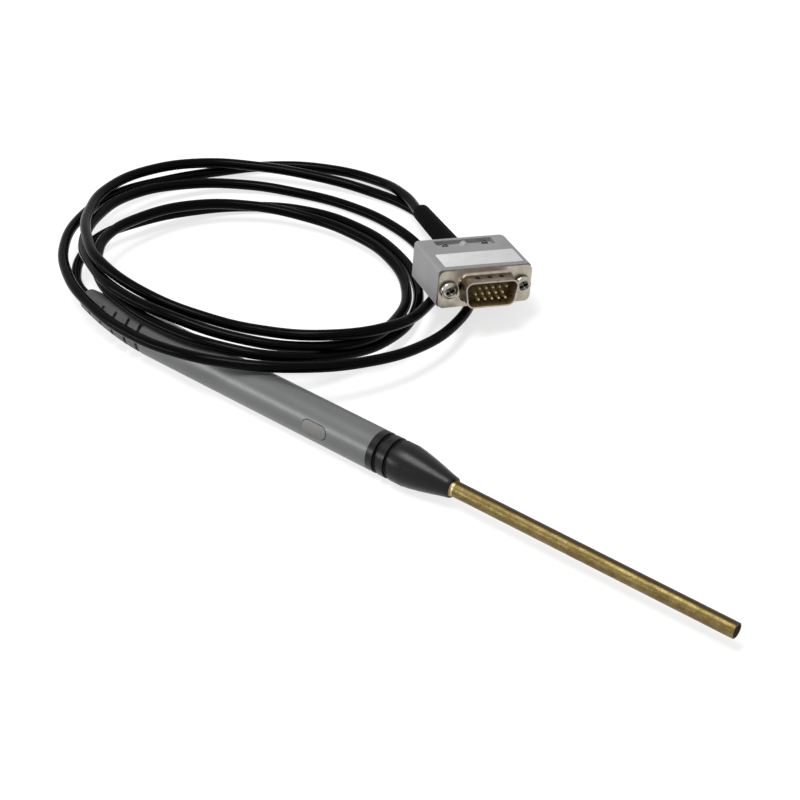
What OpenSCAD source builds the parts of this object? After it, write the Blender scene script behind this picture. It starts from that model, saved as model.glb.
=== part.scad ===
// Hand-held axial magnetic field probe with its own cord and fifteen-way plug.
// Frame: +X along the stem towards its tip, +Z up, the probe's own length is
// centred on X = 0 and its barrel rests on Z = 0. Millimetres throughout.

/* [Stem] */
// Outside diameter of the brass stem
stem_d = 4.8; // [4:0.1:5.6]
// Length of stem that shows in front of the nose
stem_l = 94.2; // [60:0.2:150]
// Wall of the brass stem
stem_wall = 0.4; // [0.3:0.05:0.6]

/* [Nose] */
// Length of the black nose in front of the barrel
nose_l = 27.6; // [24:0.2:36]
// Diameter of the nose's flat front end
nose_tip_d = 6.4; // [6.2:0.1:8]
// Depth of the two ring grooves
groove_depth = 1; // [0.6:0.1:1.4]

/* [Barrel] */
// Outside diameter of the barrel
barrel_d = 12.9; // [12.4:0.1:16]
// Length of the grey barrel
barrel_l = 91.2; // [80:0.2:130]
// Wall of the barrel
barrel_wall = 1.45; // [1.2:0.05:1.6]

/* [Button] */
// Length of the obround button along the barrel
button_l = 9; // [7:0.1:12]
// Width of the obround button
button_w = 4.2; // [3.6:0.1:5.4]
// How far the button stands above the barrel
button_proud = 0.2; // [0.1:0.05:0.3]
// Distance from the barrel's front end to the button's middle
button_back = 19.6; // [16:0.2:30]
// Angle of the button above the level, round the barrel
button_angle = 15; // [0:1:40]

/* [Strain relief] */
// Length of the slotted strain relief
relief_l = 30; // [30:0.5:36]
// Diameter of the strain relief at its cord end
relief_end_d = 6.8; // [6.2:0.1:8]
// Width of each cross slot
slot_w = 1.2; // [0.8:0.1:1.6]

/* [Cord] */
// Diameter of the cord
cord_d = 3.5; // [3:0.1:3.6]

/* [Plug] */
// Width of the plug's flange and hood
plug_w = 31.5; // [30.8:0.1:34]
// Height of the plug's flange and hood
plug_h = 12.6; // [12.5:0.1:14]
// Depth of the hood behind the flange's face
hood_l = 24.9; // [24:0.1:34]
// Distance between the two jack screws
screw_span = 25; // [25:0.05:25.2]
// How far the D-shaped shell stands out of the flange
shell_l = 5.9; // [5:0.1:7]
// Length of the black boot behind the hood
boot_l = 35; // [30:0.5:35]

/* [Hidden] */
$fn = 64;

// Stations along the probe
total_l = stem_l + nose_l + barrel_l + relief_l;
x_tip = total_l / 2;
x_nose = x_tip - stem_l;
x_barrel = x_nose - nose_l;
x_relief = x_barrel - barrel_l;
x_end = x_relief - relief_l;
barrel_r = barrel_d / 2;
bore_r = barrel_r - barrel_wall;
stem_r = stem_d / 2;
stem_bore = stem_r - stem_wall;
// The stem is swaged a little wider where the nose grips it
root_r = stem_r + 0.25;
spigot_l = 8;
x_stem_back = x_barrel - spigot_l;
x_button = x_barrel - button_back;
board_l = barrel_l * 0.35;
relief_bend = 4.6;

// Cord route, in millimetres, from the ferrule to the boot of the plug
route = [
    [-79, 0, 6.45], [-92, 0, 6.45], [-107, 0.8, 6.45], [-121.5, 2.5, 6.45],
    [-129, 5, 6.5], [-135.5, 10.5, 6.5], [-140.5, 18.1, 6.5], [-144.2, 29.3, 6],
    [-142, 45.5, 4.8], [-134.3, 64.5, 3], [-122, 80, 1.8], [-105, 90, 1.7],
    [-85, 93, 1.7], [-66, 89.5, 1.7], [-49, 79.5, 2], [-38, 65, 2.8],
    [-33.9, 47.8, 4.3], [-36.5, 28.4, 7.9], [-46.4, 11.1, 12.3], [-63.7, 0.6, 14.6],
    [-84.3, -2.6, 14.6], [-103.5, -0.2, 13.9], [-120.1, 6.5, 11.9],
    [-130.9, 16.2, 11.4], [-137.4, 27.4, 10.8], [-137.8, 43.4, 9.6],
    [-131.5, 61, 8], [-118, 75, 6.3], [-100.1, 83.5, 4.8], [-80.6, 86, 4.2],
    [-62.6, 82.3, 4.3], [-46.1, 70.8, 4.8], [-36.5, 53.6, 7.2], [-34.8, 34, 10.6],
    [-45.4, 20.1, 11.4], [-62.7, 8.2, 13.8], [-83.6, 0.9, 16.8], [-104, -0.6, 17.9],
    [-124.4, 7.3, 15.5], [-139.5, 18.5, 12], [-150, 36, 9.5], [-153, 55, 7],
    [-146, 73.5, 4.6], [-132.5, 88, 2.7], [-115, 97, 1.7],
    [-95.5, 101.5, 1.7], [-75.5, 101, 1.7], [-57, 94.5, 2], [-41.4, 81.2, 4.5],
    [-32.4, 64.3, 8.2], [-29.9, 41.4, 13.9], [-41.3, 24.7, 15.1], [-59.1, 15.1, 14.3],
    [-77.4, 9.3, 14.5], [-95.8, 4.4, 17.3], [-115.8, 4.8, 20.1], [-134.6, 15.7, 18],
    [-149, 31, 14.3], [-157.5, 48, 11.2], [-158, 67, 8.6],
    [-149, 84.5, 6.8], [-133, 97, 5.5], [-115, 106, 4.2], [-97, 112.5, 2.3],
    [-77, 113.5, 1.7], [-58.5, 107, 1.7], [-41.8, 95.8, 2.4], [-28, 82, 4.5],
    [-20.5, 64, 7], [-19.7, 44.1, 9.3], [-25.9, 25.2, 11.7], [-37.2, 9.1, 13.8],
    [-52.5, -3.1, 15.2], [-71.5, -10.4, 15.3], [-91.9, -10.9, 14],
    [-111, -6.5, 12.7], [-129.8, 1.8, 11.6], [-145, 15, 10.5],
    [-154.5, 32.5, 9], [-158, 51.5, 6.7], [-154, 70.5, 4.3],
    [-146, 89, 2.2], [-133.5, 105, 1.7], [-117, 115.5, 1.7],
    [-98, 119.5, 2.3], [-81.6, 114.6, 5.2]];
route_end_x = -121.5;
route_axis_z = 6.45;
// The whole lay follows the relief's end and the height of the barrel, and
// past the first points it rests as high as the cord is thick
lay_x = x_end - route_end_x;
lay_z = barrel_r / route_axis_z;
lay_d = 3.1;
free_from = 6;

// Plug: the middle of the flange's face, and how the plug lies
plug_at = [-18.7, 76.3, 15.2];
plug_turn = [-7.3, -7.7, -31.4];
plate_t = 0.6;
hood_wall = 1.5;
base_t = 1.4;
hood_front = -2 * plate_t;
pin_pitch = 2.29;
row_pitch = 1.98;
row_shift = pin_pitch / 4;
pin_r = 0.4;
d_wall = 0.45;
d_w = 16.92 + 2 * d_wall;
d_h = 8 + 2 * d_wall;
window_x = -22.6;
window_y = -9.5;
window_l = 4.6;
window_w = 20;
label_x = -12.5;
label_y = -12.8;
label_l = 9.5;
label_w = 26.6;
board_back = -20.6;
cup_back = -11.4;

// Helpers
module along_x(x0, len, r) {
    translate([x0, 0, barrel_r]) rotate([0, 90, 0]) cylinder(h = len, r = r);
}

module plug_frame() {
    translate([plug_at[0] + lay_x, plug_at[1], plug_at[2] * lay_z])
        rotate(plug_turn) children();
}

module rod(x0, x1, r, y = 0, z = 0) {
    translate([x0, y, z]) rotate([0, 90, 0]) cylinder(h = x1 - x0, r = r);
}

// A plate of thickness x1 - x0 across X with rounded corners
module plate(x0, x1, w, h, r) {
    translate([x0, 0, 0]) rotate([90, 0, 90]) linear_extrude(x1 - x0) {
        square([w - 2 * r, h], center = true);
        square([w, h - 2 * r], center = true);
        for (a = [-1, 1], b = [-1, 1])
            translate([a * (w / 2 - r), b * (h / 2 - r)]) circle(r);
    }
}

// D outline: wide at the top, sides sloping in by ten degrees, grown by g
function d_mid(r) = [
    [d_w / 2 - r, d_h / 2 - r],
    [-d_w / 2 + r, d_h / 2 - r],
    [-d_w / 2 + r + (d_h - 2 * r) * tan(10), -d_h / 2 + r],
    [d_w / 2 - r - (d_h - 2 * r) * tan(10), -d_h / 2 + r]];
module d_outline(g) {
    r = 2.5;
    m = d_mid(r);
    n = [[0, 1], [-cos(10), -sin(10)], [0, -1], [cos(10), -sin(10)]];
    k = r + g - 0.004;
    for (p = m) translate(p) circle(r + g);
    polygon([for (i = [0:3]) each [m[i] + n[i] * k,
        m[(i + 1) % 4] + n[i] * k]]);
}
module d_prism(x0, x1, g) {
    translate([x0, 0, 0]) rotate([90, 0, 90]) linear_extrude(x1 - x0)
        d_outline(g);
}

// Frame at the button: X along the barrel, Z outward through the button
module button_frame() {
    translate([x_button, 0, barrel_r]) rotate([90 - button_angle, 0, 0])
        children();
}
module obround(l, w, h) {
    linear_extrude(h) {
        square([l - w, w], center = true);
        for (s = [-1, 1]) translate([s * (l - w) / 2, 0]) circle(w / 2);
    }
}

// Stem
module probe_tube() {
    color([0.72, 0.62, 0.36]) difference() {
        union() {
            along_x(x_nose, stem_l, stem_r);
            along_x(x_stem_back, x_nose - x_stem_back, root_r);
        }
        along_x(x_stem_back - 1, x_tip - x_stem_back + 2, stem_bore);
    }
}

module tip_potting() {
    color([0.16, 0.15, 0.13]) along_x(x_tip - 2.1, 2, stem_bore);
}

module hall_sensor() {
    color([0.1, 0.1, 0.11]) translate([x_tip - 2.9, -1.1, barrel_r - 1.1])
        cube([0.8, 2.2, 2.2]);
}

module sensor_carrier() {
    color([0.55, 0.42, 0.2]) intersection() {
        along_x(x_stem_back - 0.7, x_tip - 2.9 - x_stem_back + 0.7,
            stem_bore);
        translate([x_stem_back - 1, -4, barrel_r - 0.3])
            cube([x_tip - x_stem_back, 8, 0.6]);
    }
}

module stem_collar() {
    color([0.75, 0.76, 0.78]) difference() {
        along_x(x_stem_back, 6, bore_r - 1);
        along_x(x_stem_back - 1, 8, root_r);
    }
}

// Nose: spigot, collar, two grooves and a long convex taper
module nose_cone() {
    r0 = barrel_r;
    rg = barrel_r - groove_depth;
    rs = barrel_r - 0.15;
    rt = nose_tip_d / 2;
    tap = nose_l - 12.8;
    steps = 10;
    outline = concat(
        [[0, -spigot_l], [bore_r, -spigot_l], [bore_r, 0], [r0, 0],
         [r0, 2.3], [rg, 2.3], [rg, 3.8], [r0, 3.8], [r0, 6.3],
         [rg, 6.3], [rg, 7.8], [r0, 7.8], [r0, 12.2]],
        [for (i = [0:steps]) let (t = i / steps)
            [rs - (rs - rt) * pow(t, 1.2), 12.8 + tap * t]],
        [[0, nose_l]]);
    color([0.16, 0.16, 0.17]) difference() {
        translate([x_barrel, 0, barrel_r]) rotate([0, 90, 0])
            rotate_extrude() polygon(outline);
        along_x(x_stem_back - 1, nose_l + spigot_l + 2, root_r);
        along_x(x_stem_back - 1, 7, bore_r - 1);
    }
}

// Barrel: a plain tube with the obround opening for the button
module handle_barrel() {
    color([0.46, 0.46, 0.46]) difference() {
        along_x(x_relief, barrel_l, barrel_r);
        along_x(x_relief - 1, barrel_l + 2, bore_r);
        button_frame() translate([0, 0, 1])
            obround(button_l + 0.3, button_w + 0.3, barrel_d);
    }
}

module handle_board() {
    color([0.1, 0.35, 0.2]) intersection() {
        along_x(x_button - board_l, x_stem_back - 0.7 - x_button + board_l,
            bore_r);
        button_frame() translate([-barrel_l / 2, -bore_r - 1, -0.4])
            cube([barrel_l, 2 * bore_r + 2, 1]);
    }
}

module tact_switch() {
    color([0.14, 0.14, 0.15]) button_frame() difference() {
        translate([-2.6, -2.2, 0.6]) cube([5.2, 4.4, 2]);
        translate([0, 0, 1]) cylinder(h = 3, r = 0.95);
    }
}

module switch_plunger() {
    color([0.8, 0.78, 0.7]) button_frame() translate([0, 0, 1.7])
        cylinder(h = 1.6, r = 0.8);
}

// Button: a cap in the opening and a thin flange that keeps it in
module push_button() {
    color([0.5, 0.5, 0.5]) {
        intersection() {
            along_x(x_button - button_l, 2 * button_l,
                barrel_r + button_proud);
            button_frame() translate([0, 0, 3.3])
                obround(button_l, button_w, 6);
        }
        intersection() {
            along_x(x_button - button_l, 2 * button_l, bore_r - 0.06);
            button_frame() translate([0, 0, 3.3])
                obround(button_l + 2, button_w + 1, 6);
        }
    }
}

// Strain relief: bent a little, made of short tapers, slotted on both sides
relief_r = [barrel_r - 0.1, barrel_r - 0.3, barrel_r - 0.75,
    barrel_r * 0.78, barrel_r * 0.67, relief_end_d / 2];
module relief_step(i) {
    h = relief_l / 5;
    if (i < 5) {
        cylinder(h = h + 0.01, r1 = relief_r[i], r2 = relief_r[i + 1]);
        translate([0, 0, h]) rotate([-2 * relief_bend / 5, 0, 0])
            relief_step(i + 1);
    }
}
module slot_pair(r, z) {
    for (s = [-1, 1]) difference() {
        translate([-r * 0.75, s > 0 ? barrel_r * 0.39 : -barrel_r * 1.4,
            z - slot_w / 2]) cube([r * 1.5, barrel_r * 1.01, slot_w]);
        translate([0, 0, z - 2 * slot_w])
            cylinder(h = 4 * slot_w, r = r - 1.7);
    }
}
module relief_slots(i) {
    h = relief_l / 5;
    if (i < 4) {
        translate([0, 0, h]) rotate([-2 * relief_bend / 5, 0, 0]) {
            slot_pair(relief_r[i + 1], slot_w * -0.25);
            relief_slots(i + 1);
        }
    }
}
module tail_relief() {
    color([0.45, 0.45, 0.45]) difference() {
        union() {
            translate([x_relief, 0, barrel_r]) rotate([0, -90, 0])
                relief_step(0);
            along_x(x_relief, spigot_l, bore_r);
        }
        translate([x_relief, 0, barrel_r]) rotate([0, -90, 0]) {
            slot_pair(relief_r[0], slot_w * 0.9);
            relief_slots(0);
        }
        along_x(x_relief - 0.5, spigot_l + 2, cord_d / 2);
        translate([x_relief, 0, barrel_r]) rotate([0, -90, 0])
            rotate([-1.6, 0, 0]) translate([0, 0, -0.2])
            cylinder(h = 16, r = cord_d / 2);
        translate([x_relief - 15, 0.45, barrel_r]) rotate([0, -90, 0])
            rotate([-7.6, 0, 0]) translate([0, 0, -0.6])
            cylinder(h = 20, r = cord_d / 2);
    }
}

module cord_ferrule() {
    color([0.75, 0.75, 0.77]) difference() {
        along_x(x_relief + spigot_l, 4.5, bore_r - 1.2);
        along_x(x_relief + spigot_l - 1, 7, cord_d / 2);
    }
}

// Cord: one tube of eight sides swept along the route
function lay(i) = [route[i][0] + lay_x, route[i][1], route[i][2] * lay_z
    + (i > free_from ? (cord_d - lay_d) / 2 : 0)];
function in_boot(x) = [plug_at[0] + lay_x, plug_at[1], plug_at[2] * lay_z]
    + x * [cos(plug_turn[2]) * cos(plug_turn[1]),
        sin(plug_turn[2]) * cos(plug_turn[1]), -sin(plug_turn[1])];
way = concat([for (i = [0:len(route) - 1]) lay(i)],
    [for (x = [-hood_l - boot_l, -hood_l - boot_l / 2, board_back])
        in_boot(x)]);
function unit(v) = v / norm(v);
function dir_at(i) = let (n = len(way))
    unit(way[min(i + 1, n - 1)] - way[max(i - 1, 0)]);
function ring_at(i) = let (
    t = dir_at(i),
    s = unit(cross([0, 0, 1], t)),
    u = cross(t, s))
    [for (k = [0:7]) way[i]
        + (s * cos(45 * k + 22.5) + u * sin(45 * k + 22.5)) * cord_d / 2];
module cable() {
    n = len(way);
    color([0.06, 0.06, 0.06]) polyhedron(
        points = [for (i = [0:n - 1]) each ring_at(i)],
        faces = concat(
            [[for (k = [0:7]) k]],
            [for (i = [0:n - 2], k = [0:7]) let (m = (k + 1) % 8)
                each [[8 * i + k, 8 * i + 8 + k, 8 * i + m],
                    [8 * i + m, 8 * i + 8 + k, 8 * i + 8 + m]]],
            [[for (k = [7:-1:0]) 8 * (n - 1) + k]]));
}

// Boot behind the hood
module cable_boot() {
    color([0.09, 0.09, 0.09]) plug_frame() difference() {
        union() {
            translate([-hood_l - boot_l, 0.6, 0]) rotate([0, 90, 0])
                cylinder(h = boot_l, r1 = cord_d / 2 + 1.15, r2 = 3.55);
            rod(-hood_l - 0.1, -hood_l + hood_wall, 3.1);
            rod(-hood_l + hood_wall, -hood_l + hood_wall + 0.9, 3.6);
        }
        rod(-hood_l - boot_l - 1, -hood_l + 4, cord_d / 2 - 0.05);
    }
}

// Hood: a rounded box, open below and at the front
module hood_block(z0, z1) {
    intersection() {
        translate([0, 0, z0]) linear_extrude(z1 - z0) {
            translate([-hood_l, -plug_w / 2 + 2])
                square([hood_l + hood_front, plug_w - 4]);
            translate([-hood_l + 2, -plug_w / 2])
                square([hood_l + hood_front - 2, plug_w]);
            for (s = [-1, 1]) translate([-hood_l + 2, s * (plug_w / 2 - 2)])
                circle(2);
        }
        plate(-hood_l, hood_front, plug_w, plug_h, 1.8);
    }
}
module window_cut() {
    translate([window_x, window_y, 0]) cube([window_l, window_w, 10]);
}
module jack_holes(x0, x1, r) {
    for (s = [-1, 1]) rod(x0, x1, r, s * screw_span / 2);
}
module hood_shell() {
    zi = plug_h / 2 - hood_wall;
    zb = -plug_h / 2 + base_t;
    color([0.6, 0.61, 0.62]) plug_frame() difference() {
        hood_block(zb, plug_h / 2 + 1);
        // main room behind the contacts
        translate([-hood_l + hood_wall, -plug_w / 2 + hood_wall, zb - 1])
            cube([hood_l - hood_wall - 9.2, plug_w - 2 * hood_wall,
                zi - zb + 1]);
        // room for the rear of the contact block
        translate([-9.3, -9.7, zb - 1]) cube([9, 19.4, zi - zb + 1]);
        window_cut();
        rod(-hood_l - 1, -hood_l + 3, 3.1);
        jack_holes(-9.5, 1, 1.5);
        // blind holes for the two closing screws
        for (s = [-1, 1]) translate([-5.2, s * 12.5, zb - 1])
            cylinder(h = 3.4, r = 0.8);
    }
}
module hood_base() {
    zb = -plug_h / 2 + base_t;
    color([0.58, 0.59, 0.6]) plug_frame() difference() {
        hood_block(-plug_h / 2 - 1, zb);
        for (s = [-1, 1]) translate([-5.2, s * 12.5, -plug_h / 2 - 1]) {
            cylinder(h = 4, r = 0.8);
            cylinder(h = 1.7, r = 1.5);
        }
    }
}
module hood_screws() {
    zb = -plug_h / 2 + base_t;
    color([0.7, 0.7, 0.72]) plug_frame() for (s = [-1, 1])
        translate([-5.2, s * 12.5, -plug_h / 2]) {
            translate([0, 0, 0.1]) cylinder(h = 0.6, r = 1.5);
            translate([0, 0, 0.6]) cylinder(h = 2.8, r = 0.8);
        }
}

// Light plate under the window, with its two posts
module window_pane() {
    zi = plug_h / 2 - hood_wall;
    color([0.7, 0.71, 0.71]) plug_frame() {
        translate([-hood_l + hood_wall, window_y - 1.6, zi - 0.8])
            cube([window_x + window_l + 0.4 + hood_l, window_w + 3.2, 0.8]);
        for (y = [window_y + 2, window_y + window_w - 3])
            translate([window_x + window_l - 1.6, y, zi - 0.1])
            cylinder(h = 0.9, r = 0.9);
    }
}

module hood_label() {
    color([0.88, 0.88, 0.87]) plug_frame()
        translate([label_x, label_y, plug_h / 2])
            cube([label_l, label_w, 0.15]);
}

module memory_board() {
    color([0.1, 0.35, 0.2]) plug_frame()
        translate([board_back, -7, -0.52])
        cube([cup_back - board_back, 14, 1.04]);
}

// Plated shell and flange
module ring_of_d(x0, x1, g) {
    translate([x0, 0, 0]) rotate([90, 0, 90]) linear_extrude(x1 - x0)
        difference() {
            d_outline(g);
            d_outline(-d_wall);
        }
}
module front_shell() {
    color([0.74, 0.72, 0.66]) plug_frame() {
        difference() {
            plate(-plate_t, 0, plug_w, plug_h, 2);
            d_prism(-1, 1, -d_wall);
            jack_holes(-2, 1, 1.5);
        }
        ring_of_d(0, 0.7, 0.6);
        ring_of_d(0.7, shell_l, 0);
    }
}
module rear_shell() {
    color([0.7, 0.69, 0.66]) plug_frame() difference() {
        union() {
            plate(-2 * plate_t, -plate_t, plug_w, plug_h, 2);
            d_prism(-5.4, -plate_t - 0.1, 0.2);
        }
        d_prism(-6, 1, -d_wall);
        jack_holes(-3, 1, 1.5);
    }
}

function pin_places() = [for (j = [-1:1], i = [-2:2])
    [i * pin_pitch + row_shift * (j == 0 ? -1 : 1), j * row_pitch]];
module insulator() {
    color([0.09, 0.09, 0.1]) plug_frame() difference() {
        d_prism(-7.6, 0.4, -d_wall);
        for (p = pin_places()) rod(-9, 2, pin_r, p[0], p[1]);
    }
}
module contact_pins() {
    color([0.85, 0.68, 0.3]) plug_frame() for (p = pin_places()) {
        rod(-7.6, shell_l - 1, pin_r, p[0], p[1]);
        translate([shell_l - 1, p[0], p[1]]) rotate([0, 90, 0])
            cylinder(h = 0.4, r1 = pin_r, r2 = pin_r / 2);
        rod(cup_back, -7.6, pin_r + 0.3, p[0], p[1]);
    }
}

// Jack screws: pan heads with a cross recess, shanks in the hood
module jack_screws() {
    color([0.76, 0.75, 0.72]) plug_frame() for (s = [-1, 1])
        translate([0, s * screw_span / 2, 0]) difference() {
            union() {
                rod(0, 1.2, 2.9);
                translate([1.2, 0, 0]) rotate([0, 90, 0])
                    cylinder(h = 0.8, r1 = 2.9, r2 = 2.2);
                rod(-8, 0, 1.5);
            }
            for (a = [0, 90]) translate([1.1, 0, 0]) rotate([a, 0, 0])
                translate([0, -1.5, -0.3]) cube([2, 3, 0.6]);
        }
}

probe_tube();
tip_potting();
hall_sensor();
sensor_carrier();
stem_collar();
nose_cone();
handle_barrel();
handle_board();
tact_switch();
switch_plunger();
push_button();
tail_relief();
cord_ferrule();
cable();
cable_boot();
hood_shell();
hood_base();
window_pane();
hood_label();
hood_screws();
memory_board();
front_shell();
rear_shell();
insulator();
contact_pins();
jack_screws();
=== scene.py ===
"""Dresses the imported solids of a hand-held axial magnetic field probe.

The probe is a brass stem in a black nose, on a grey handle with one push
button and a slotted strain relief. A coiled black cord joins it to a plug
with fifteen contacts. Pieces are shaped on a bench that counts in millimetres
and then settled into the row's frame, which counts in metres.
"""

from __future__ import annotations

import logging
import math
from collections.abc import Callable, Sequence
from dataclasses import dataclass
from enum import Enum

import bpy
from mathutils import Euler, Matrix, Vector

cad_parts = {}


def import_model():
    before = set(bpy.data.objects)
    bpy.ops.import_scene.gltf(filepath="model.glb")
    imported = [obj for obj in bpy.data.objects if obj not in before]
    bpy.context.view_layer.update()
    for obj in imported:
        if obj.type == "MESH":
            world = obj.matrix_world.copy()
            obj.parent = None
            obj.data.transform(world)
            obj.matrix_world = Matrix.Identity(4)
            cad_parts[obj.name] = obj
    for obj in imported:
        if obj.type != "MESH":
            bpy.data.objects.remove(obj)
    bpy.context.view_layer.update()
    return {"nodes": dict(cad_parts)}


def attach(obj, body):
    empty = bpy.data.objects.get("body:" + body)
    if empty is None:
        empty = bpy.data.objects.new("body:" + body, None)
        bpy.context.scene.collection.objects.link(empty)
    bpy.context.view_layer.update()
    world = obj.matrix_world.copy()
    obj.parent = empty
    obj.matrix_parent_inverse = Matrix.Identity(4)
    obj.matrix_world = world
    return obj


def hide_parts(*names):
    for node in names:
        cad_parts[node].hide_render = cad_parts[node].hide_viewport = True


log = logging.getLogger("probe")

MM = 0.001

Outline = Sequence[tuple[float, float]]
Tone = tuple[int, int, int]
Point = tuple[float, float, float]
Span = tuple[float, float]
Piece = bpy.types.Object
Socket = bpy.types.NodeSocket
Chooser = Callable[[Vector, Vector], bool]

# Where the plug lies: the middle of its flange's face, in millimetres, and its
# turn in degrees
PLUG_AT = (-18.7, 76.3, 15.2)
PLUG_TURN = (-7.3, -7.7, -31.4)

# Height of the probe's axis above the surface that it lies on
AXIS_HEIGHT = 6.45

# Points this close together, in millimetres, become one point before edges are
# broken and after, so that the rounding meets no splinter and leaves none
BEFORE_ROUNDING = 0.012
AFTER_ROUNDING = 0.002

QUARTER = math.pi / 2
BOTH = (-1, 1)


class Body(Enum):
    """The bodies that a piece can ride on."""

    PROBE = "probe"
    BUTTON = "button"


class Edge(Enum):
    """How far sharp edges are broken: width in millimetres, and steps."""

    CRISP = (0.06, 2)
    MOULDED = (0.13, 3)
    SOFT = (0.28, 4)


# Bench work


def clear_bench() -> None:
    """Leave edit mode and deselect everything."""
    active = bpy.context.view_layer.objects.active
    if active is not None and active.mode != "OBJECT":
        bpy.ops.object.mode_set(mode="OBJECT")
    bpy.ops.object.select_all(action="DESELECT")


def take(piece: Piece) -> Piece:
    """Make one piece the only selected and active one.

    Args:
        piece: The object to work on.

    Returns:
        The same object.
    """
    clear_bench()
    piece.select_set(True)
    bpy.context.view_layer.objects.active = piece
    return piece


def name_newest(name: str) -> Piece:
    """Name the active object and its mesh.

    Args:
        name: The name that both get.

    Returns:
        The active object.
    """
    piece = bpy.context.object
    piece.name = name
    piece.data.name = name
    return piece


def fix_place(piece: Piece) -> Piece:
    """Move a piece's place, turn and scale into its mesh.

    Args:
        piece: The object to fix.

    Returns:
        The same object, at the origin.
    """
    take(piece)
    bpy.ops.object.transform_apply(location=True, rotation=True, scale=True)
    return piece


def moved(piece: Piece, place: Matrix) -> Piece:
    """Set a piece's place and move it into its mesh."""
    piece.matrix_world = place
    return fix_place(piece)


def settle(piece: Piece, place: Matrix) -> Piece:
    """Carry a finished piece from the bench into the row's frame.

    Args:
        piece: The piece, shaped in millimetres.
        place: Where its own frame lies, in millimetres.

    Returns:
        The same object, in metres, with its place in its mesh.
    """
    return moved(piece, Matrix.Scale(MM, 4) @ place @ piece.matrix_world)


def mark(piece: Piece, kind: str, wanted: Chooser) -> None:
    """Enter edit mode with only the wanted edges or faces selected.

    Args:
        piece: The piece to look through.
        kind: EDGE or FACE.
        wanted: Gets the two ends of an edge, or a face's middle and normal.
    """
    take(piece)
    bpy.ops.object.mode_set(mode="EDIT")
    bpy.ops.mesh.select_mode(type=kind)
    bpy.ops.mesh.select_all(action="DESELECT")
    bpy.ops.object.mode_set(mode="OBJECT")
    points = piece.data.vertices
    if kind == "EDGE":
        for edge in piece.data.edges:
            edge.select = wanted(*(points[i].co for i in edge.vertices))
    else:
        for face in piece.data.polygons:
            face.select = wanted(face.center, face.normal)
    bpy.ops.object.mode_set(mode="EDIT")


def taper(piece: Piece, wanted: Chooser, scale: Point, about: Point) -> Piece:
    """Scale chosen faces about a point.

    Args:
        piece: The piece to work on.
        wanted: Gets a face's middle and its normal.
        scale: Factors along X, Y and Z.
        about: The point that stays.

    Returns:
        The piece.
    """
    mark(piece, "FACE", wanted)
    bpy.ops.transform.resize(value=scale, center_override=about)
    bpy.ops.object.mode_set(mode="OBJECT")
    return piece


def round_edges(piece: Piece, wanted: Chooser, radius: float, steps: int = 6) -> Piece:
    """Round chosen edges with the edit-mode bevel.

    Args:
        piece: The piece to work on.
        wanted: Gets the two ends of an edge.
        radius: How far the rounding reaches, in millimetres.
        steps: Faces across it.

    Returns:
        The piece.
    """
    mark(piece, "EDGE", wanted)
    bpy.ops.mesh.bevel(offset=radius, segments=steps, affect="EDGES", clamp_overlap=True)
    bpy.ops.object.mode_set(mode="OBJECT")
    return piece


def close_up(piece: Piece, gap: float) -> Piece:
    """Merge the points of a piece that lie closer together than a gap.

    Args:
        piece: The piece to work on.
        gap: Distance in millimetres.

    Returns:
        The piece.
    """
    take(piece)
    bpy.ops.object.mode_set(mode="EDIT")
    bpy.ops.mesh.select_all(action="SELECT")
    bpy.ops.mesh.remove_doubles(threshold=gap)
    bpy.ops.mesh.dissolve_degenerate(threshold=gap / 2)
    bpy.ops.object.mode_set(mode="OBJECT")
    return piece


def break_edges(piece: Piece, edge: Edge, corner: float = 30.0) -> Piece:
    """Break every sharp edge of a piece a little.

    Args:
        piece: The piece to work on.
        edge: How far the edges are broken.
        corner: Angle in degrees from which an edge is sharp.

    Returns:
        The piece.
    """
    close_up(piece, BEFORE_ROUNDING)
    width, steps = edge.value
    rounding = piece.modifiers.new("rounding", "BEVEL")
    rounding.width = width
    rounding.segments = steps
    rounding.limit_method = "ANGLE"
    rounding.angle_limit = math.radians(corner)
    rounding.use_clamp_overlap = True
    bpy.ops.object.modifier_apply(modifier=rounding.name)
    return close_up(piece, AFTER_ROUNDING)


def combine(piece: Piece, how: str, *others: Piece) -> Piece:
    """Cut, join or trim a piece with others, which are used up.

    Args:
        piece: The piece that stays.
        how: DIFFERENCE, UNION or INTERSECT.
        others: The shapes it is worked with, one after the other.

    Returns:
        The piece.
    """
    for other in others:
        take(piece)
        tool = piece.modifiers.new("tool", "BOOLEAN")
        tool.operation = how
        tool.solver = "EXACT"
        tool.object = other
        bpy.ops.object.modifier_apply(modifier=tool.name)
        bpy.data.objects.remove(other, do_unlink=True)
    return piece


def gather(name: str, *pieces: Piece) -> Piece:
    """Join pieces into one object, each with its own shell.

    Args:
        name: Name of the result.
        pieces: What is joined.

    Returns:
        The joined object.
    """
    clear_bench()
    for piece in pieces:
        piece.select_set(True)
    bpy.context.view_layer.objects.active = pieces[0]
    bpy.ops.object.join()
    return name_newest(name)


def repeat(name: str, piece: Piece, places: Sequence[Vector], turn: Euler | None = None) -> Piece:
    """Copy a piece to several places, join the copies and drop the piece.

    Args:
        name: Name of the result.
        piece: The piece to repeat, at the origin.
        places: How far each copy is moved, in millimetres.
        turn: How each is turned about the origin first, if it is.

    Returns:
        The joined copies.
    """
    spin = turn.to_matrix().to_4x4() if turn is not None else Matrix.Identity(4)
    copies = []
    for at in places:
        take(piece)
        bpy.ops.object.duplicate(linked=False)
        copies.append(moved(bpy.context.object, Matrix.Translation(at) @ spin))
    bpy.data.objects.remove(piece, do_unlink=True)
    return gather(name, *copies)


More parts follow.
